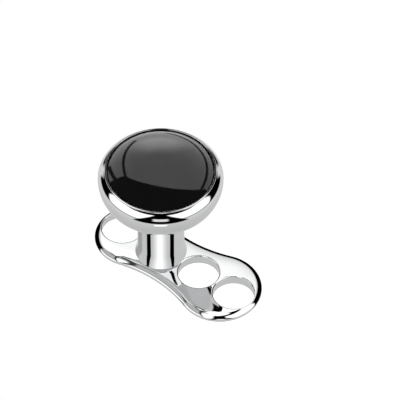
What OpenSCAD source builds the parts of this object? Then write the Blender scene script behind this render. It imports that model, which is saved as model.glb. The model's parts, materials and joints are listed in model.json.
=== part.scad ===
// Dermal anchor: a mirror-polished foot plate with a hollow post, and a
// screw-in top that holds a black domed stone. Millimetres, +Z up the post.
// Origin: the post's axis on the underside of the plate. +X: along the plate
// to the end with two holes.

/* [Foot plate] */
// Thickness of the plate
plate_t = 0.4; // [0.36:0.02:0.5]
// Radius of the round end with two holes, seen from above
toe_r = 1.44; // [1.44:0.01:1.48]
// Distance between the centres of the two round ends
lobe_gap = 3.775; // [3.775:0.025:3.875]
// Reach of the plate from the post axis to the end with one hole
heel_reach = 2.54; // [2.52:0.01:2.54]
// Rounding of the plate's outer edges
edge_r = 0.16; // [0.1:0.01:0.16]

/* [Tissue holes] */
// Diameter of the three holes
hole_d = 1.42; // [1.32:0.02:1.42]
// Width of the bevel round each hole
hole_bevel = 0.02; // [0.01:0.01:0.02]
// Distance from the post axis to the heel hole
heel_hole = 1.68; // [1.64:0.01:1.69]
// Distance from the post axis to the near toe hole
near_hole = 1.62; // [1.62:0.01:1.63]
// Distance from the post axis to the far toe hole
far_hole = 3.12; // [3.1:0.01:3.12]

/* [Post] */
// Outer diameter of the post
post_d = 1.6; // [1.5:0.02:1.6]
// Height of the post above the plate
post_h = 2.7; // [2.2:0.1:3.5]
// Height of the flared foot of the post
flare_h = 0.5; // [0.3:0.05:0.7]
// How far the foot flares out at the plate
flare_w = 0.08; // [0.05:0.01:0.08]
// Edge break at the mouth of the post
mouth_break = 0.03; // [0.02:0.01:0.04]

/* [Screw stem] */
// Diameter over the thread ridges
thread_d = 1.1; // [1:0.02:1.12]
// Spacing of the thread ridges
thread_pitch = 0.25; // [0.2:0.01:0.3]
// Depth of the thread grooves
thread_depth = 0.06; // [0.04:0.01:0.08]
// Number of thread ridges
thread_ridges = 4; // [3:1:4]
// Height of the plain collar under the head
collar_h = 0.36; // [0.3:0.02:0.4]
// Length of the rounded tip
tip_h = 0.29; // [0.2:0.01:0.4]
// Radial clearance between the ridges and the bore
fit_gap = 0.04; // [0.03:0.01:0.06]
// Gap under the head, where it lands on the post
land_gap = 0.02; // [0.01:0.01:0.03]

/* [Bezel] */
// Largest diameter of the bezel
head_d = 4.25; // [4.2:0.05:4.4]
// Height of the bezel from its flat underside to the lip
bezel_h = 1.4; // [1.35:0.05:1.5]
// Height of the widest point above the underside
belly_h = 0.97; // [0.9:0.01:1]
// Diameter of the flat underside
seat_d = 3.36; // [3.2:0.02:3.5]
// Outer diameter of the thin lip
lip_d = 3.8; // [3.78:0.01:3.82]
// Width of the lip
lip_w = 0.07; // [0.06:0.01:0.08]
// Height of the lip above the bezel's shoulder
lip_h = 0.07; // [0.05:0.01:0.08]
// Depth of the cup for the stone
cup_depth = 0.5; // [0.4:0.05:0.6]

/* [Stone] */
// Gap between the stone and the cup
stone_gap = 0.03; // [0.02:0.01:0.04]
// Height of the dome above the stone's edge
dome_h = 0.75; // [0.65:0.05:0.85]
// How far the stone's edge lies below the lip
edge_drop = 0.03; // [0.02:0.01:0.05]

/* [Hidden] */
$fn = 96;
slack = 0.2;
steel = [0.78, 0.79, 0.8];

// Plan of the plate: a small and a large lobe joined by two hollow waist
// curves, which are circles about points outside the plate and touch both.
// The directions in which they touch are those of a 7-24-25 and a 44-117-125
// triangle, so every centre is a round number.
heel_touch = [0.28, 0.96];
toe_touch = [-0.352, 0.936];
heel_to_waist = 1.56 * lobe_gap;
toe_to_waist = 1.6 * lobe_gap;
heel_r = toe_r - toe_to_waist + heel_to_waist;
waist_r = toe_to_waist - toe_r;
heel_x = heel_r - heel_reach;
toe_x = heel_x + lobe_gap;
waist_x = heel_x + heel_touch[0] * heel_to_waist;
waist_y = heel_touch[1] * heel_to_waist;
heel_angle = atan2(heel_touch[1], heel_touch[0]);
toe_angle = atan2(toe_touch[1], toe_touch[0]);

hole_r = hole_d / 2;
post_r = post_d / 2;
post_top = plate_t + post_h;
flare_r = (pow(flare_w, 2) + pow(flare_h, 2)) / (2 * flare_w);
bore_r = thread_d / 2 + fit_gap;
bore_spare = 0.2;

head_z = post_top + land_gap;
head_r = head_d / 2;
belly_z = head_z + belly_h;
lip_z = head_z + bezel_h;
lip_out = lip_d / 2;
lip_in = lip_out - lip_w;
under_in = head_r - seat_d / 2;
under_r = (pow(under_in, 2) + pow(belly_h, 2)) / (2 * under_in);
shoulder_in = head_r - lip_out;
shoulder_h = bezel_h - lip_h - belly_h;
shoulder_r = (pow(shoulder_in, 2) + pow(shoulder_h, 2)) / (2 * shoulder_in);
cup_z = lip_z - cup_depth;

thread_r = thread_d / 2;
root_r = thread_r - thread_depth;
collar_r = thread_r + fit_gap / 2;
thread_z = head_z - collar_h;
stem_l = collar_h + thread_ridges * thread_pitch + tip_h;
tip_r = (pow(root_r, 2) + pow(tip_h, 2)) / (2 * tip_h);

stone_r = lip_in - stone_gap;
stone_z = cup_z + stone_gap;
stone_edge_z = lip_z - edge_drop;
dome_r = (pow(stone_r, 2) + pow(dome_h, 2)) / (2 * dome_h);

// Half of the plate's section with rounded corners, out to the radius given
module rim_section(r) {
    square([r - edge_r, plate_t]);
    translate([0, edge_r]) square([r, plate_t - 2 * edge_r]);
    for (z = [edge_r, plate_t - edge_r]) translate([r - edge_r, z]) circle(r = edge_r);
}

// Round end of the plate: a sector of a disc with a rounded rim
module lobe(x, r, from, sweep) {
    translate([x, 0, 0]) rotate([0, 0, from]) rotate_extrude(angle = sweep) rim_section(r);
}

// Everything that one waist curve takes away, as a disc about its centre
module waist_cut() {
    rotate_extrude() difference() {
        translate([0, -slack]) square([waist_r + edge_r, plate_t + 2 * slack]);
        translate([waist_r, edge_r]) square([edge_r + slack, plate_t - 2 * edge_r]);
        for (z = [edge_r, plate_t - edge_r])
            translate([waist_r + edge_r, z]) circle(r = edge_r);
    }
}

// Middle of the plate, between the lobes
module waist() {
    difference() {
        linear_extrude(plate_t)
            polygon([[heel_x, 0], [waist_x, -waist_y], [toe_x, 0], [waist_x, waist_y]]);
        for (y = [-waist_y, waist_y]) translate([waist_x, y, 0]) waist_cut();
    }
}

module plate_blank() {
    lobe(toe_x, toe_r, -toe_angle, 2 * toe_angle);
    lobe(heel_x, heel_r, heel_angle, 360 - 2 * heel_angle);
    waist();
}

// Hole with a bevel at both mouths
module tissue_hole() {
    flare = hole_r + hole_bevel;
    rotate_extrude() polygon([
        [0, -slack], [flare, -slack], [flare, 0], [hole_r, hole_bevel],
        [hole_r, plate_t - hole_bevel], [flare, plate_t], [flare, plate_t + slack],
        [0, plate_t + slack]
    ]);
}

// Post with its flared foot, which starts inside the plate
module post() {
    root = plate_t / 2;
    rotate_extrude() {
        translate([0, root]) square([post_r, post_h + plate_t / 2 - mouth_break]);
        square_w = post_r - mouth_break;
        translate([0, root]) square([square_w, post_h + plate_t / 2]);
        translate([square_w, post_top - mouth_break]) intersection() {
            circle(r = mouth_break);
            square(mouth_break);
        }
        difference() {
            translate([0, root]) square([post_r + 2 * flare_w, plate_t / 2 + flare_h]);
            translate([post_r + flare_r, plate_t + flare_h]) circle(r = flare_r);
        }
    }
}

// Threaded hole down the post, drawn at the thread's full width
module post_bore() {
    depth = stem_l - land_gap + bore_spare;
    translate([0, 0, post_top - depth]) cylinder(h = depth + slack, r = bore_r);
    translate([0, 0, post_top - mouth_break])
        cylinder(h = mouth_break + slack, r1 = bore_r, r2 = bore_r + mouth_break + slack);
}

module anchor_base() {
    color(steel) difference() {
        union() {
            plate_blank();
            post();
        }
        for (x = [-heel_hole, near_hole, far_hole]) translate([x, 0, 0]) tissue_hole();
        post_bore();
    }
}

// Half section of the bezel: round underside, belly, shoulder and thin lip
module bezel_section() {
    intersection() {
        translate([head_r - under_r, belly_z]) circle(r = under_r);
        translate([0, head_z]) square([head_r + slack, belly_h]);
    }
    translate([0, head_z]) square([seat_d / 2, belly_h]);
    intersection() {
        translate([head_r - shoulder_r, belly_z]) circle(r = shoulder_r);
        translate([0, belly_z]) square([head_r + slack, shoulder_h]);
    }
    translate([0, belly_z]) square([lip_out, bezel_h - belly_h - lip_w / 2]);
    translate([lip_out - lip_w / 2, lip_z - lip_w / 2]) circle(r = lip_w / 2);
}

// Half section of the stem: collar, ridged thread and rounded tip. It starts
// inside the bezel.
module stem_section() {
    end_z = head_z - stem_l;
    ridges = [for (i = [0 : thread_ridges - 1]) each [
        [root_r, thread_z - i * thread_pitch],
        [thread_r, thread_z - (i + 0.4) * thread_pitch],
        [thread_r, thread_z - (i + 0.6) * thread_pitch]
    ]];
    difference() {
        polygon(concat(
            [[0, head_z + slack], [collar_r, head_z + slack], [collar_r, thread_z]],
            ridges,
            [[root_r, end_z + tip_h], [root_r, end_z], [0, end_z]]
        ));
        difference() {
            translate([0, end_z - slack]) square([root_r + slack, tip_h + slack]);
            translate([0, end_z + tip_r]) circle(r = tip_r);
        }
    }
}

module bezel_top() {
    color(steel) {
        rotate_extrude() difference() {
            bezel_section();
            translate([0, cup_z]) square([lip_in, cup_depth + slack]);
        }
        rotate_extrude() stem_section();
    }
}

module cabochon() {
    color([0.05, 0.05, 0.055]) rotate_extrude() {
        translate([0, stone_z]) square([stone_r, stone_edge_z - stone_z]);
        intersection() {
            translate([0, stone_edge_z + dome_h - dome_r]) circle(r = dome_r);
            translate([0, stone_edge_z]) square([stone_r, dome_h]);
        }
    }
}

anchor_base();
bezel_top();
cabochon();
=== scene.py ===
import json
import math

import bmesh
import bpy
from mathutils import Matrix, Vector


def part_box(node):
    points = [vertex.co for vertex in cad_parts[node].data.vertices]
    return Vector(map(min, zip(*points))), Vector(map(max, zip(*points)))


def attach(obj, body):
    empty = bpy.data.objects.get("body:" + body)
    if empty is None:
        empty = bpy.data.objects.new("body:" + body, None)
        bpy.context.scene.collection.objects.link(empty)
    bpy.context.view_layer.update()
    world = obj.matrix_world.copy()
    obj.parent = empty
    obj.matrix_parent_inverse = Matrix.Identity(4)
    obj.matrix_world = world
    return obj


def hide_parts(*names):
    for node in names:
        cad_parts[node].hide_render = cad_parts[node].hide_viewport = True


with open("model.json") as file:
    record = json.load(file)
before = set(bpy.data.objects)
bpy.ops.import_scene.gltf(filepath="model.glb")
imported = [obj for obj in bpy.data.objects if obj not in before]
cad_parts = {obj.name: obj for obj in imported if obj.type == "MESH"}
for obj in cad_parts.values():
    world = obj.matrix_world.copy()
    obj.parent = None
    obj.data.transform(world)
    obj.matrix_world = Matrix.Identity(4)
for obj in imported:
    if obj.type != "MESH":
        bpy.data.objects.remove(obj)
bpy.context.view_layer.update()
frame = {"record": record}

scene = bpy.context.scene
mm = 0.001  # the shapes are drawn in millimetres and come down to metres at the end
weld = 1e-5  # points closer than this, in millimetres, are one point
sharpAngle = 32  # degrees; smaller bends between two faces are shaded smooth

# Heights and reaches that the frame already holds, in millimetres
anchorLow, anchorHigh = (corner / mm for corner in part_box("anchor_base"))
topLow, topHigh = (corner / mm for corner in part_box("bezel_top"))
stoneLow, stoneHigh = (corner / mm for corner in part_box("cabochon"))
tissueHoles = [
    {"x": mount["pos_m"][0] / mm, "r": mount["dims"]["r_mm"]}
    for mount in frame["record"]["mounts"] if mount["kind"] == "bore"
]


# Camera

cameraView = {
    "elevation": 49.0,
    "azimuth": 37.8,
    "distance": 238.0,  # millimetres from the aimed point, far off as in a catalogue shot
    "lens": 632.9,
    "sensor": 36.0,
    "nearClip": 0.01,  # metres
    "aimHeight": 2.975,
    "aimRight": 1.328,  # the post stands left of the picture's middle
}


def placeCamera(view):
    elevation, azimuth = math.radians(view["elevation"]), math.radians(view["azimuth"])
    back = Vector((math.sin(azimuth) * math.cos(elevation), -math.cos(azimuth) * math.cos(elevation),
                   math.sin(elevation)))
    right = Vector((math.cos(azimuth), math.sin(azimuth), 0))
    aim = right * view["aimRight"] + Vector((0, 0, view["aimHeight"]))
    data = bpy.data.cameras.new("catalogueCamera")
    data.lens = view["lens"]
    data.sensor_width = view["sensor"]
    data.clip_start = view["nearClip"]
    camera = bpy.data.objects.new("catalogueCamera", data)
    camera.location = (aim + back * view["distance"]) * mm
    camera.rotation_euler = (-back).to_track_quat("-Z", "Y").to_euler()
    scene.collection.objects.link(camera)
    scene.camera = camera
    scene.view_settings.view_transform = "Standard"


placeCamera(cameraView)
print("camera placed")


# Node helpers

def newMaterial(name):
    material = bpy.data.materials.new(name)
    material.use_nodes = True
    nodes, links = material.node_tree.nodes, material.node_tree.links
    return material, nodes, links, nodes["Principled BSDF"]


def addNode(nodes, kind, **settings):
    node = nodes.new(kind)
    for name, value in settings.items():
        setattr(node, name, value)
    return node


def mathNode(nodes, links, operation, *inputs):
    node = addNode(nodes, "ShaderNodeMath", operation=operation)
    for socket, value in zip(node.inputs, inputs):
        if isinstance(value, bpy.types.NodeSocket):
            links.new(value, socket)
        else:
            socket.default_value = value
    return node.outputs[0]


def noiseNode(nodes, links, vector, size, detail):
    noise = addNode(nodes, "ShaderNodeTexNoise")
    noise.inputs["Scale"].default_value = 1 / (size * mm)
    noise.inputs["Detail"].default_value = detail
    links.new(vector, noise.inputs["Vector"])
    return noise.outputs["Fac"]


def rangeNode(nodes, links, value, source, target=(0.0, 1.0), steps="LINEAR"):
    spread = addNode(nodes, "ShaderNodeMapRange", interpolation_type=steps)
    links.new(value, spread.inputs["Value"])
    spread.inputs["From Min"].default_value, spread.inputs["From Max"].default_value = source
    spread.inputs["To Min"].default_value, spread.inputs["To Max"].default_value = target
    return spread.outputs["Result"]


# Backdrop and table

# The camera sees one plain white behind everything, and the parts see none of it
backdrop = {"tone": 1.0}
# A plain white table that glows by itself, so that hardly a shadow stays on it
floorLook = {"halfWidth": 400.0, "tone": 0.5, "roughness": 0.9, "glow": 1.0, "drop": 0.004}


def buildBackdrop(settings):
    world = bpy.data.worlds.new("studio")
    scene.world = world
    world.use_nodes = True
    nodes, links = world.node_tree.nodes, world.node_tree.links
    seen = addNode(nodes, "ShaderNodeLightPath").outputs["Is Camera Ray"]
    light = nodes["Background"].inputs
    links.new(mathNode(nodes, links, "MULTIPLY", seen, settings["tone"]), light["Strength"])
    light["Color"].default_value = (1, 1, 1, 1)


def buildFloor(settings):
    bm = bmesh.new()
    bmesh.ops.create_grid(bm, x_segments=1, y_segments=1, size=settings["halfWidth"] * mm)
    bmesh.ops.translate(bm, vec=(0, 0, -settings["drop"] * mm), verts=bm.verts)
    mesh = bpy.data.meshes.new("floor")
    bm.to_mesh(mesh)
    bm.free()
    floor = bpy.data.objects.new("floor", mesh)
    scene.collection.objects.link(floor)
    material, _, _, surface = newMaterial("paleFloor")
    surface.inputs["Base Color"].default_value = (settings["tone"],) * 3 + (1,)
    surface.inputs["Roughness"].default_value = settings["roughness"]
    surface.inputs["Specular IOR Level"].default_value = 0.0
    surface.inputs["Emission Color"].default_value = (1, 1, 1, 1)
    surface.inputs["Emission Strength"].default_value = settings["glow"]
    mesh.materials.append(material)
    floor.visible_glossy = False  # the polished parts see the grey low end of their own shell instead


buildBackdrop(backdrop)
buildFloor(floorLook)
print("backdrop and table built")


# Studio light: a wide shell of white panels and black flags round each polished part, as each part of
# such a picture is lit by itself. All angles are in degrees. Azimuth 0 is the side that the camera
# stands on, and 90 is to its right. "tones" run from the floor to the zenith, and "soft" is half the
# width of a card's faded edge. "spread" is how much a card's half width grows with each degree upwards,
# and "lean" how far its middle moves along. "plane" is the direction (right, away, up) square to a
# great circle, and the card is kept to the band between the two "side" angles off that circle.

shellMesh = {"around": 48, "upright": 24}

plateStudio = {
    "radius": 320.0,
    "tones": ((-75, 0.6), (-26, 0.62), (-17, 1.2), (90, 1.4)),
    "cards": [
        {"name": "backShade", "azimuth": (90, 270), "elevation": (0, 47), "soft": 8, "tone": 0.7},
        {"name": "leftGrey", "azimuth": (-108, -46), "elevation": (9, 62), "soft": 3, "tone": 0.5},
        {"name": "leftGreyEdge", "azimuth": (-108, -40), "elevation": (58, 66), "soft": 2, "tone": 0.05},
        {"name": "leftGreyFoot", "azimuth": (-108, -40), "elevation": (4, 11), "soft": 2, "tone": 0.1},
        {"name": "backFlag", "azimuth": (90, 267), "elevation": (-40, 36), "soft": 2, "tone": 0.0},
        {"name": "leftGap", "plane": (-0.73, 0.65, -0.21), "side": (-2.5, 2.5), "azimuth": (-130, -35),
         "elevation": (-16, 80), "soft": 1.5, "tone": 0.05},
        {"name": "frontFlag", "azimuth": (-15, 15), "elevation": (-8, 50), "soft": 4, "tone": 0.0},
        {"name": "topGap", "plane": (-0.212, -0.264, 0.941), "side": (48.5, 64), "azimuth": (-12, 118),
         "soft": 2, "tone": 0.0},
        {"name": "lowRightGap", "plane": (0.84, 0.18, 0.51), "side": (-8, 8), "azimuth": (0, 60),
         "elevation": (-26, 4), "soft": 2, "tone": 0.0},
        {"name": "lowLeftGap", "plane": (0.92, -0.11, -0.37), "side": (-6, 6), "azimuth": (-60, 0),
         "elevation": (-36, 0), "soft": 2, "tone": 0.0},
    ],
}

postStudio = {
    "radius": 310.0,
    "tones": ((-75, 0.62), (-10, 0.66), (0, 1.0), (90, 1.2)),
    "cards": [
        {"name": "leftDusk", "azimuth": (-150, -106), "elevation": (-80, 0), "soft": 7, "tone": 0.4},
        {"name": "middleLight", "azimuth": (-22, 12), "elevation": (-80, 4), "soft": 26, "tone": 1.4},
        {"name": "leftStripe", "azimuth": (-47.5, -44.6), "elevation": (-80, -12), "lean": 0.32,
         "spread": -0.2, "soft": 1.2, "tone": 0.0},
        {"name": "rightStripe", "azimuth": (38.9, 41.8), "elevation": (-80, -12), "lean": -0.32,
         "spread": -0.2, "soft": 1.2, "tone": 0.0},
        {"name": "leftStripeHigh", "azimuth": (-73, -50.5), "elevation": (10, 80), "soft": 1.2, "tone": 0.0},
        {"name": "rightStripeHigh", "azimuth": (45, 67), "elevation": (10, 80), "soft": 1.2, "tone": 0.0},
    ],
}

bezelStudio = {
    "radius": 330.0,
    "tones": ((-75, 0.56), (-6, 0.76), (1, 0.0), (90, 0.0)),
    "cards": [
        {"name": "leftSoftbox", "azimuth": (-86, -20), "elevation": (3, 60), "spread": 0.5, "soft": 3,
         "tone": 1.4},
        {"name": "rightSoftbox", "azimuth": (23, 82), "elevation": (3, 60), "spread": 0.45, "soft": 3,
         "tone": 1.4},
        {"name": "leftPatch", "azimuth": (-140, -127), "elevation": (-6, 25), "soft": 3, "tone": 0.75},
        {"name": "rightPatch", "azimuth": (127, 140), "elevation": (-6, 25), "soft": 3, "tone": 0.75},
        {"name": "backGlow", "azimuth": (156, 204), "elevation": (-8, 30), "soft": 4, "tone": 0.8},
        {"name": "frontFlag", "azimuth": (-36, 36), "elevation": (-26, 78), "spread": -0.36, "soft": 3,
         "tone": 0.0},
        {"name": "lensLight", "azimuth": (-12, 12), "elevation": (2, 25), "soft": 3, "tone": 0.88},
        {"name": "lowLight", "azimuth": (-11, 11), "elevation": (-50, -36), "soft": 3, "tone": 1.5},
    ],
}

stoneStudio = {
    "radius": 340.0,
    "tones": ((-75, 1.0), (0, 1.2), (90, 1.4)),
    "cards": [
        {"name": "backGlow", "azimuth": (163, 200), "elevation": (4, 36), "soft": 12, "tone": 2.7},
        {"name": "frontFlag", "plane": (0.163, 0.731, 0.662), "side": (-90, 29.6), "azimuth": (-112, 97),
         "soft": 0.8, "tone": 0.1},
        {"name": "rightLine", "plane": (-0.433, 0.25, 0.7645), "side": (-1.8, 1.6), "azimuth": (80, 178),
         "soft": 0.8, "tone": 0.1},
        {"name": "leftLine", "plane": (-0.668, -0.243, -0.703), "side": (-1.8, 1.8), "azimuth": (-165, -85),
         "soft": 0.8, "tone": 0.1},
        {"name": "leftBand", "plane": (-0.493, -0.49, -0.718), "side": (-2, 2), "azimuth": (-135, -88),
         "soft": 0.8, "tone": 0.1},
    ],
}


def sideAngles(nodes, links, vector):
    # Azimuth and elevation of a point on the shell, and its direction (right, away, up). They are the
    # object's own coordinates, turned until azimuth 0 is the photographed side.
    turned = addNode(nodes, "ShaderNodeMapping", vector_type="TEXTURE")
    turned.inputs["Rotation"].default_value[2] = math.radians(cameraView["azimuth"])
    links.new(vector, turned.inputs["Vector"])
    unit = addNode(nodes, "ShaderNodeVectorMath", operation="NORMALIZE")
    links.new(turned.outputs["Vector"], unit.inputs[0])
    parts = addNode(nodes, "ShaderNodeSeparateXYZ")
    links.new(unit.outputs["Vector"], parts.inputs["Vector"])
    right, away, up = (parts.outputs[axis] for axis in "XYZ")
    towards = mathNode(nodes, links, "MULTIPLY", away, -1.0)
    azimuth = mathNode(nodes, links, "DEGREES", mathNode(nodes, links, "ARCTAN2", right, towards))
    elevation = mathNode(nodes, links, "DEGREES", mathNode(nodes, links, "ARCSINE", up))
    return azimuth, elevation, unit.outputs["Vector"]


def bandMask(nodes, links, angle, band, soft, growth=None):
    # 1 inside the band and 0 outside, with a soft edge
    middle, half = (band[0] + band[1]) / 2, (band[1] - band[0]) / 2
    offset = mathNode(nodes, links, "SUBTRACT", angle, middle)
    offset = mathNode(nodes, links, "ABSOLUTE", mathNode(nodes, links, "WRAP", offset, 180.0, -180.0))
    inside = mathNode(nodes, links, "SUBTRACT", half, offset)
    if growth:
        inside = mathNode(nodes, links, "ADD", inside, growth)
    return rangeNode(nodes, links, inside, (-soft, soft), steps="SMOOTHSTEP")


def cardTone(nodes, links, tone, card, azimuth, elevation, direction):
    # The tone of the shell with one more card over it
    growth, soft = None, card["soft"]
    if "spread" in card:
        growth = mathNode(nodes, links, "MULTIPLY", elevation, card["spread"])
    if "lean" in card:
        shift = mathNode(nodes, links, "MULTIPLY", elevation, card["lean"])
        azimuth = mathNode(nodes, links, "SUBTRACT", azimuth, shift)
    mask = bandMask(nodes, links, azimuth, card["azimuth"], soft, growth)
    if "elevation" in card:
        band = bandMask(nodes, links, elevation, card["elevation"], soft)
        mask = mathNode(nodes, links, "MULTIPLY", mask, band)
    if "plane" in card:
        across = addNode(nodes, "ShaderNodeVectorMath", operation="DOT_PRODUCT")
        links.new(direction, across.inputs[0])
        across.inputs[1].default_value = Vector(card["plane"]).normalized()
        aside = mathNode(nodes, links, "ARCSINE", across.outputs["Value"])
        band = bandMask(nodes, links, mathNode(nodes, links, "DEGREES", aside), card["side"], soft)
        mask = mathNode(nodes, links, "MULTIPLY", mask, band)
    blend = addNode(nodes, "ShaderNodeMix", data_type="FLOAT", label=card["name"])
    links.new(mask, blend.inputs[0])
    links.new(tone, blend.inputs[2])
    blend.inputs[3].default_value = card["tone"]
    return blend.outputs[0]


def toneRamp(nodes, links, elevation, tones):
    low, high = -90.0, 90.0
    ramp = addNode(nodes, "ShaderNodeValToRGB")
    links.new(rangeNode(nodes, links, elevation, (low, high)), ramp.inputs["Fac"])
    stops = ramp.color_ramp.elements
    while len(stops) < len(tones):
        stops.new(0.5)  # each gets its own place below
    for stop, (at, tone) in zip(stops, tones):
        stop.position = (at - low) / (high - low)
        stop.color = (tone, tone, tone, 1)
    return ramp.outputs["Color"]


def buildShell(name, settings, piece):
    bm = bmesh.new()
    bmesh.ops.create_uvsphere(bm, u_segments=shellMesh["around"], v_segments=shellMesh["upright"],
                              radius=settings["radius"] * mm)
    mesh = bpy.data.meshes.new(name)
    bm.to_mesh(mesh)
    bm.free()
    shell = bpy.data.objects.new(name, mesh)
    scene.collection.objects.link(shell)
    material, nodes, links, surface = newMaterial(name)
    nodes.remove(surface)
    place = addNode(nodes, "ShaderNodeTexCoord").outputs["Object"]
    azimuth, elevation, direction = sideAngles(nodes, links, place)
    tone = toneRamp(nodes, links, elevation, settings["tones"])
    for card in settings["cards"]:
        tone = cardTone(nodes, links, tone, card, azimuth, elevation, direction)
    # The shell glows and still lets everything through, so no shell hides another
    glow = addNode(nodes, "ShaderNodeEmission")
    links.new(tone, glow.inputs["Strength"])
    both = addNode(nodes, "ShaderNodeAddShader")
    links.new(glow.outputs[0], both.inputs[0])
    links.new(addNode(nodes, "ShaderNodeBsdfTransparent").outputs[0], both.inputs[1])
    links.new(both.outputs[0], nodes["Material Output"].inputs["Surface"])
    material.cycles.emission_sampling = "NONE"
    mesh.materials.append(material)
    shell.visible_camera = shell.visible_diffuse = shell.visible_shadow = False
    lit = bpy.data.collections.new(name)
    lit.objects.link(piece)
    shell.light_linking.receiver_collection = lit


# Shape helpers. A section is drawn in the XZ plane, point by point, and then swept round. An arc turns
# from +X towards +Z where its degrees are positive.

def sweep(bm, geometry, centre, degrees, steps, axis=(0, 0, 1), rise=0.0):
    closed = abs(degrees) == 360 and not rise
    swept = bmesh.ops.spin(bm, geom=geometry, cent=centre, axis=axis, dvec=(0, 0, rise / steps),
                           angle=math.radians(degrees), steps=steps, use_merge=closed,
                           use_normal_flip=False, use_duplicate=False)
    return swept["geom_last"]


def lineTo(bm, point, x, z):
    moved = bmesh.ops.extrude_vert_indiv(bm, verts=[point])["verts"][0]
    moved.co = (x, 0, z)
    return moved


def arcAbout(bm, point, x, z, degrees, steps):
    return sweep(bm, [point], (x, 0, z), degrees, steps, axis=(0, -1, 0))[0]


def newParts(bm, before):
    return [part for part in bm.verts[:] + bm.edges[:] if part not in before]


def finishPiece(bm, name, body, node, material):
    bmesh.ops.remove_doubles(bm, verts=bm.verts, dist=weld)
    bmesh.ops.recalc_face_normals(bm, faces=bm.faces)
    bmesh.ops.scale(bm, vec=(mm, mm, mm), verts=bm.verts)
    mesh = bpy.data.meshes.new(name)
    bm.to_mesh(mesh)
    bm.free()
    mesh.shade_smooth()
    mesh.set_sharp_from_angle(angle=math.radians(sharpAngle))
    mesh.materials.append(material)
    piece = bpy.data.objects.new(name, mesh)
    scene.collection.objects.link(piece)
    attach(piece, body)
    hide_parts(node)
    print(name, "made of", len(mesh.polygons), "faces")
    return piece


def arcRadius(width, height):
    # Radius of the arc that starts square to its width and climbs to that height
    return (width ** 2 + height ** 2) / (2 * width)


# Steel

steelFinish = {
    "colour": ((0.81, 0.815, 0.82), (0.85, 0.855, 0.86)),
    "cloud": 1.4,  # sizes in millimetres
    "cloudRange": (0.35, 0.65),  # part of the noise that each range spreads out
    "roughness": (0.014, 0.05),
    "smudge": 0.9,
    "smudgeDetail": 4.0,
    "smudgeRange": (0.35, 0.75),
    "hairline": (0.016, 0.4),  # fine polishing marks, across and along
    "hairlineRange": (0.62, 0.75),
    "hairlineRoughness": 0.03,
    "waviness": 1.1,
    "waveHeight": 0.0012,
}

cloudDetail, plainDetail = 3.0, 1.0


def unevenColour(nodes, links, vector, settings, surface):
    clouds = noiseNode(nodes, links, vector, settings["cloud"], cloudDetail)
    blend = addNode(nodes, "ShaderNodeMix", data_type="RGBA")
    links.new(rangeNode(nodes, links, clouds, settings["cloudRange"]), blend.inputs[0])
    for socket, colour in zip((blend.inputs[6], blend.inputs[7]), settings["colour"]):
        socket.default_value = colour + (1,)
    links.new(blend.outputs[2], surface.inputs["Base Color"])


def smudgedRoughness(nodes, links, vector, settings):
    smudges = noiseNode(nodes, links, vector, settings["smudge"], settings["smudgeDetail"])
    return rangeNode(nodes, links, smudges, settings["smudgeRange"], settings["roughness"])


def softWaves(nodes, links, vector, settings, surface):
    bump = addNode(nodes, "ShaderNodeBump")
    bump.inputs["Distance"].default_value = settings["waveHeight"] * mm
    links.new(noiseNode(nodes, links, vector, settings["waviness"], plainDetail), bump.inputs["Height"])
    links.new(bump.outputs["Normal"], surface.inputs["Normal"])


def steelMaterial(name, settings):
    material, nodes, links, surface = newMaterial(name)
    place = addNode(nodes, "ShaderNodeTexCoord").outputs["Object"]
    surface.inputs["Metallic"].default_value = 1.0
    unevenColour(nodes, links, place, settings, surface)
    stretched = addNode(nodes, "ShaderNodeMapping")
    across, along = settings["hairline"]
    stretched.inputs["Scale"].default_value = (across / along, 1.0, 1.0)
    links.new(place, stretched.inputs["Vector"])
    marks = noiseNode(nodes, links, stretched.outputs["Vector"], across, plainDetail)
    marks = rangeNode(nodes, links, marks, settings["hairlineRange"], (0.0, settings["hairlineRoughness"]),
                      "SMOOTHSTEP")
    roughness = mathNode(nodes, links, "ADD", smudgedRoughness(nodes, links, place, settings), marks)
    links.new(roughness, surface.inputs["Roughness"])
    softWaves(nodes, links, place, settings, surface)
    return material


plateSteel = steelMaterial("plateSteel", steelFinish)
bezelSteel = steelMaterial("bezelSteel", steelFinish)


# Foot plate

plateShape = {
    "thickness": 0.4,
    "heelTouch": (0.28, 0.96),  # directions from the lobes' centres to where the waist curves touch them
    "toeTouch": (-0.352, 0.936),
    "heelToWaist": 1.56,  # distances from the lobes' centres to the waist curves' centres, in lobe gaps
    "toeToWaist": 1.6,
    "topRound": 0.22,  # the outer edge is round all the way
    "lowRound": 0.18,
    "sweptEdge": 0.08,  # how far in the swept part of that edge reaches, before the faces' own mesh
    "edgeSteps": 14,
    "crownReach": 0.65,  # how far in from the outline the top's soft crown begins
    "crownDrop": 0.034,
    "crownPower": 3,
    "fineMesh": 0.025,  # longest edge left in the faces near the outline, and elsewhere
    "coarseMesh": 0.08,
    "fineReach": 0.24,
    "refineRounds": 12,  # at most
    "evening": 0.5,  # how far a point moves towards its neighbours in each round
    "holeEdge": 0.045,
    "holeRing": 0.002,  # narrow ring that keeps the faces even beside the rounding
    "roundSteps": 6,
    "lobeSteps": 160,
    "waistSteps": 72,
    "holeSteps": 96,
}


def plateOutline(settings):
    # A small and a large lobe joined by two waist curves, circles about points outside the plate
    toe, length = anchorHigh.y, anchorHigh.x - anchorLow.x
    share = settings["toeToWaist"] - settings["heelToWaist"]
    gap = (length - 2 * toe) / (1 - share)
    heel = toe - share * gap
    heelX, toeX = anchorLow.x + heel, anchorHigh.x - toe
    reach = settings["heelToWaist"] * gap
    return {"heel": heel, "toe": toe, "heelX": heelX, "toeX": toeX,
            "waist": settings["toeToWaist"] * gap - toe,
            "waistX": heelX + settings["heelTouch"][0] * reach, "waistY": settings["heelTouch"][1] * reach}


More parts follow.
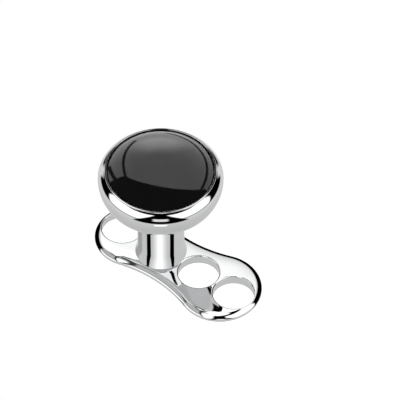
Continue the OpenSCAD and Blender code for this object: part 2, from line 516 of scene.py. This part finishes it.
def inwardFrom(plan, settings, place):
    # Distance from a point of the plan to the outline, counted inwards
    x, y = place.x, abs(place.y)
    heelSide = Vector(settings["heelTouch"]).cross(Vector((x - plan["heelX"], y))) > 0
    toeSide = Vector(settings["toeTouch"]).cross(Vector((x - plan["toeX"], y))) < 0
    if heelSide:
        return plan["heel"] - math.hypot(x - plan["heelX"], y)
    if toeSide:
        return plan["toe"] - math.hypot(x - plan["toeX"], y)
    return math.hypot(x - plan["waistX"], y - plan["waistY"]) - plan["waist"]


def edgeInsets(rounding, reach, steps):
    # How far in from the outline the points of a rounding lie, from the outline inwards
    steepest = math.asin(1 - reach / rounding)
    turns = [math.pi / 2 + (steepest - math.pi / 2) * step / steps for step in range(1, steps + 1)]
    return [rounding * (1 - math.sin(turn)) for turn in turns]


def buildRim(bm, settings, plan):
    # Drawn flat, as two rows of points above each other; shapeFaces rounds it afterwards
    swept, steps, wall = settings["sweptEdge"], settings["edgeSteps"], plan["toe"]
    point = bm.verts.new((wall - swept, 0, 0))
    for inset in edgeInsets(settings["lowRound"], swept, steps)[-2::-1]:
        point = lineTo(bm, point, wall - inset, 0)
    point = lineTo(bm, point, wall, settings["lowRound"])
    for inset in edgeInsets(settings["topRound"], swept, steps):
        point = lineTo(bm, point, wall - inset, settings["thickness"])
    heelTurn, toeTurn = (math.degrees(math.atan2(touch[1], touch[0]))
                         for touch in (settings["heelTouch"], settings["toeTouch"]))
    bmesh.ops.rotate(bm, verts=bm.verts, cent=(0, 0, 0),
                     matrix=Matrix.Rotation(math.radians(-toeTurn), 3, "Z"))
    bmesh.ops.translate(bm, verts=bm.verts, vec=(plan["toeX"], 0, 0))
    section = bm.verts[:] + bm.edges[:]
    waistTurn, lobeSteps, waistSteps = heelTurn - toeTurn, settings["lobeSteps"], settings["waistSteps"]
    section = sweep(bm, section, (plan["toeX"], 0, 0), 2 * toeTurn, lobeSteps)
    section = sweep(bm, section, (plan["waistX"], plan["waistY"], 0), waistTurn, waistSteps)
    section = sweep(bm, section, (plan["heelX"], 0, 0), 360 - 2 * heelTurn, lobeSteps)
    sweep(bm, section, (plan["waistX"], -plan["waistY"], 0), waistTurn, waistSteps)


def buildHole(bm, settings, hole):
    # From the underside round into the hole, up its wall, and round out to the top
    before = set(bm.verts[:] + bm.edges[:])
    top, edge, steps = settings["thickness"], settings["holeEdge"], settings["roundSteps"]
    wall = hole["x"] + hole["r"]
    flat = wall + edge + settings["holeRing"]
    point = lineTo(bm, bm.verts.new((flat, 0, 0)), wall + edge, 0)
    point = arcAbout(bm, point, wall + edge, edge, -90, steps)
    point = lineTo(bm, point, wall, top - edge)
    point = arcAbout(bm, point, wall + edge, top - edge, -90, steps)
    lineTo(bm, point, flat, top)
    sweep(bm, newParts(bm, before), (hole["x"], 0, 0), 360, settings["holeSteps"])


def fillFlat(bm, height, up):
    # Closes the open loops at that height with triangles
    rims = [edge for edge in bm.edges
            if edge.is_boundary and all(abs(vert.co.z - height) < weld for vert in edge.verts)]
    filled = bmesh.ops.triangle_fill(bm, use_beauty=True, use_dissolve=False, edges=rims, normal=(0, 0, up))
    return [part for part in filled["geom"] if isinstance(part, bmesh.types.BMFace)]


def markedFaces(bm):
    # The faces that are being cut, and the edges between two of them
    faces = [face for face in bm.faces if face.material_index]
    edges = {edge for face in faces for edge in face.edges}
    return faces, [edge for edge in edges if all(face.material_index for face in edge.link_faces)]


def refineFaces(bm, faces, settings, plan):
    # Cuts the long inner edges again and again and evens the triangles out. The rims stay as they are.
    for face in faces:
        face.material_index = 1  # only marks them while they are cut
    fineReach, fine, coarse = settings["fineReach"], settings["fineMesh"], settings["coarseMesh"]
    for turn in range(settings["refineRounds"]):
        faces, inner = markedFaces(bm)
        tooLong = []
        for edge in inner:
            length = edge.calc_length()
            if length > fine:
                middle = (edge.verts[0].co + edge.verts[1].co) / 2
                if length > coarse or inwardFrom(plan, settings, middle) < fineReach:
                    tooLong.append(edge)
        if not tooLong:
            break
        bmesh.ops.subdivide_edges(bm, edges=tooLong, cuts=1)
        bmesh.ops.triangulate(bm, faces=markedFaces(bm)[0])
        faces, inner = markedFaces(bm)
        bmesh.ops.beautify_fill(bm, faces=faces, edges=inner)
        faces, inner = markedFaces(bm)
        free = {vert for edge in inner for vert in edge.verts}
        free = [vert for vert in free if all(face.material_index for face in vert.link_faces)]
        bmesh.ops.smooth_vert(bm, verts=free, factor=settings["evening"], use_axis_x=True,
                              use_axis_y=True, use_axis_z=False)
    print("plate face refined to", len(faces), "triangles in", turn, "rounds")
    for face in faces:
        face.material_index = 0


def bendAt(inward, rounding):
    # How far a rounding has fallen off at that distance from the outline
    lean = max(0, 1 - inward / rounding)
    return rounding * (1 - math.sqrt(1 - lean * lean))


def shapeFaces(bm, settings, plan):
    # Rounds the outer edge over and under, and crowns the top a little towards the outline
    rounding, crown, top = settings["topRound"], settings["crownDrop"], settings["thickness"]
    reach, power = settings["crownReach"], settings["crownPower"]
    edge = settings["holeEdge"] + weld
    for vert in bm.verts:
        inward, height = max(0, inwardFrom(plan, settings, vert.co)), vert.co.z
        if height <= edge:
            vert.co.z += bendAt(inward, settings["lowRound"])
        elif height >= top - edge:
            vert.co.z -= bendAt(inward, rounding) * (1 - crown / rounding)
            vert.co.z -= crown * max(0, 1 - inward / reach) ** power


def buildPlate(settings):
    bm = bmesh.new()
    plan = plateOutline(settings)
    buildRim(bm, settings, plan)
    for hole in tissueHoles:
        buildHole(bm, settings, hole)
    bmesh.ops.remove_doubles(bm, verts=bm.verts, dist=weld)
    refineFaces(bm, fillFlat(bm, settings["thickness"], 1), settings, plan)
    refineFaces(bm, fillFlat(bm, 0, -1), settings, plan)
    shapeFaces(bm, settings, plan)
    return finishPiece(bm, "foot_plate", "anchor", "anchor_base", plateSteel)


footPlate = buildPlate(plateShape)
footPlate.visible_glossy = False  # the post mirrors only its own light, as in the catalogue picture


# Hollow post, which stands in the plate

postShape = {
    "root": 0.3,  # the post starts inside the plate and comes out of it at its foot
    "foot": 0.4,
    "radius": 0.8,
    "flareWidth": 0.08,
    "flareHeight": 0.5,
    "flareSteps": 24,
    "mouthRound": 0.03,
    "roundSteps": 8,
    "boreRadius": 0.59,
    "boreDepth": 1.83,
    "turnSteps": 192,
}


def buildPost(settings):
    # From the root, up the flared foot and the outside, over the mouth, and down the bore
    bm = bmesh.new()
    radius, foot, top = settings["radius"], settings["foot"], anchorHigh.z
    flare = arcRadius(settings["flareWidth"], settings["flareHeight"])
    mouth, bore = settings["mouthRound"], settings["boreRadius"]
    turn = math.degrees(math.asin(settings["flareHeight"] / flare))
    widest = radius + settings["flareWidth"]
    point = lineTo(bm, bm.verts.new((0, 0, settings["root"])), widest, settings["root"])
    point = lineTo(bm, point, widest, foot)
    point = arcAbout(bm, point, radius + flare, foot + settings["flareHeight"], -turn, settings["flareSteps"])
    point = lineTo(bm, point, radius, top - mouth)
    point = arcAbout(bm, point, radius - mouth, top - mouth, 90, settings["roundSteps"])
    for x, z in ((bore + mouth, top), (bore, top - mouth), (bore, top - settings["boreDepth"]),
                 (0, top - settings["boreDepth"])):
        point = lineTo(bm, point, x, z)
    sweep(bm, bm.verts[:] + bm.edges[:], (0, 0, 0), 360, settings["turnSteps"])
    return finishPiece(bm, "hollow_post", "anchor", "anchor_base", plateSteel)


hollowPost = buildPost(postShape)


# Bezel with its screw stem

bezelShape = {
    "underside": 3.12,
    "bellyHeight": 0.97,
    "seatRadius": 1.68,
    "lipOuter": 1.9,
    "lipWidth": 0.07,
    "lipHeight": 0.07,
    "cupDepth": 0.5,
    "collarRadius": 0.57,
    "collarHeight": 0.36,
    "rootRadius": 0.49,
    "tipHeight": 0.29,
    "turnSteps": 256,
    "underSteps": 40,
    "shoulderSteps": 24,
    "roundSteps": 8,
    "cornerRound": 0.03,
}

threadShape = {
    "crestRadius": 0.55,
    "pitch": 0.25,
    "low": 1.84,  # height at which the ridge starts
    "turns": 3.6,
    "crestHalf": 0.025,  # half of the ridge's width at its crest and at its foot
    "footHalf": 0.12,
    "stepsInTurn": 72,
    "runOut": 0.35,  # of a turn, where the ridge fades into the stem
    "sunk": 0.02,  # how far the ridge's back lies inside the stem
}


def buildBezel(bm, settings):
    # From the stem's tip up to the collar, out and up the bezel, over the lip, and down into the cup
    seat, belly = settings["underside"], settings["underside"] + settings["bellyHeight"]
    widest, rim = topHigh.x, settings["lipOuter"]
    lipTop, lipRound = topHigh.z, settings["lipWidth"] / 2
    shoulderTop = lipTop - settings["lipHeight"]
    under = arcRadius(widest - settings["seatRadius"], settings["bellyHeight"])
    shoulder = arcRadius(widest - rim, shoulderTop - belly)
    root, stemLow = settings["rootRadius"], topLow.z
    tip = arcRadius(settings["tipHeight"], root)
    collar, collarLow = settings["collarRadius"], seat - settings["collarHeight"]
    corner = settings["cornerRound"]
    tipTurn = math.degrees(math.asin(root / tip))
    underTurn = math.degrees(math.asin(settings["bellyHeight"] / under))
    shoulderTurn = math.degrees(math.asin((shoulderTop - belly) / shoulder))
    point = bm.verts.new((0, 0, stemLow))
    point = arcAbout(bm, point, 0, stemLow + tip, tipTurn, settings["underSteps"])
    point = lineTo(bm, point, root, collarLow)
    point = lineTo(bm, point, collar - corner, collarLow)
    point = arcAbout(bm, point, collar - corner, collarLow + corner, 90, settings["roundSteps"])
    point = lineTo(bm, point, collar, seat)
    point = lineTo(bm, point, settings["seatRadius"], seat)
    point = arcAbout(bm, point, widest - under, belly, underTurn, settings["underSteps"])
    point = arcAbout(bm, point, widest - shoulder, belly, shoulderTurn, settings["shoulderSteps"])
    point = lineTo(bm, point, rim, lipTop - lipRound)
    point = arcAbout(bm, point, rim - lipRound, lipTop - lipRound, 180, settings["roundSteps"])
    point = lineTo(bm, point, rim - 2 * lipRound, lipTop - settings["cupDepth"])
    lineTo(bm, point, 0, lipTop - settings["cupDepth"])
    sweep(bm, bm.verts[:] + bm.edges[:], (0, 0, 0), 360, settings["turnSteps"])


def buildThread(bm, settings, root):
    # A ridge wound round the stem, with its back inside the stem and both ends closed
    before = set(bm.verts[:] + bm.edges[:])
    back, low = root - settings["sunk"], settings["low"]
    crest, crestHalf, footHalf = settings["crestRadius"], settings["crestHalf"], settings["footHalf"]
    section = ((back, -footHalf), (crest, -crestHalf), (crest, crestHalf), (back, footHalf))
    first = point = bm.verts.new((back, 0, low - footHalf))
    for x, z in section[1:]:
        point = lineTo(bm, point, x, low + z)
    bm.edges.new((point, first))
    turns, stepsInTurn = settings["turns"], settings["stepsInTurn"]
    steps = round(turns * stepsInTurn)
    sweep(bm, newParts(bm, before), (0, 0, 0), 360 * turns, steps, rise=turns * settings["pitch"])
    ends = [edge for edge in bm.edges if edge.is_boundary and edge.verts[0] not in before]
    bmesh.ops.holes_fill(bm, edges=ends, sides=len(section))
    fade = settings["runOut"] * stepsInTurn
    wound = [vert for vert in bm.verts if vert not in before]
    for number, vert in enumerate(wound):
        step = number // len(section)
        share = min(1, step / fade, (steps - step) / fade)
        radius = math.hypot(vert.co.x, vert.co.y)
        scaled = (back + (radius - back) * share) / radius
        vert.co.x, vert.co.y = vert.co.x * scaled, vert.co.y * scaled


def buildBezelTop(settings, thread):
    bm = bmesh.new()
    buildBezel(bm, settings)
    buildThread(bm, thread, settings["rootRadius"])
    return finishPiece(bm, "bezel_and_stem", "top", "bezel_top", bezelSteel)


bezelTop = buildBezelTop(bezelShape, threadShape)


# Stone

stoneShape = {
    "dome": 0.75,
    "girdleRound": 0.03,
    "domeSteps": 64,
    "turnSteps": 256,
}

stoneFinish = {
    "colour": ((0.004, 0.004, 0.005), (0.009, 0.009, 0.01)),
    "cloud": 1.2,
    "cloudRange": (0.35, 0.65),
    "roughness": (0.02, 0.05),
    "smudge": 0.7,
    "smudgeDetail": 3.0,
    "smudgeRange": (0.35, 0.7),
    "waviness": 1.5,
    "waveHeight": 0.008,
    "index": 1.54,
}


def stoneMaterial(settings):
    material, nodes, links, surface = newMaterial("blackStone")
    place = addNode(nodes, "ShaderNodeTexCoord").outputs["Object"]
    surface.inputs["IOR"].default_value = settings["index"]
    unevenColour(nodes, links, place, settings, surface)
    links.new(smudgedRoughness(nodes, links, place, settings), surface.inputs["Roughness"])
    softWaves(nodes, links, place, settings, surface)
    return material


def buildStone(settings, material):
    # From the middle of the flat back, up the edge, and over the dome
    bm = bmesh.new()
    radius, dome = stoneHigh.x, settings["dome"]
    domeRadius = arcRadius(dome, radius)
    domeTurn = math.degrees(math.asin(radius / domeRadius))
    low = settings["girdleRound"]
    point = lineTo(bm, bm.verts.new((0, 0, stoneLow.z)), radius - low, stoneLow.z)
    point = lineTo(bm, point, radius, stoneLow.z + low)
    point = lineTo(bm, point, radius, stoneHigh.z - dome)
    arcAbout(bm, point, 0, stoneHigh.z - domeRadius, domeTurn, settings["domeSteps"])
    sweep(bm, bm.verts[:] + bm.edges[:], (0, 0, 0), 360, settings["turnSteps"])
    return finishPiece(bm, "black_cabochon", "top", "cabochon", material)


stone = buildStone(stoneShape, stoneMaterial(stoneFinish))


buildShell("plateStudio", plateStudio, footPlate)
buildShell("postStudio", postStudio, hollowPost)
buildShell("bezelStudio", bezelStudio, bezelTop)
buildShell("stoneStudio", stoneStudio, stone)
print("studio light built")
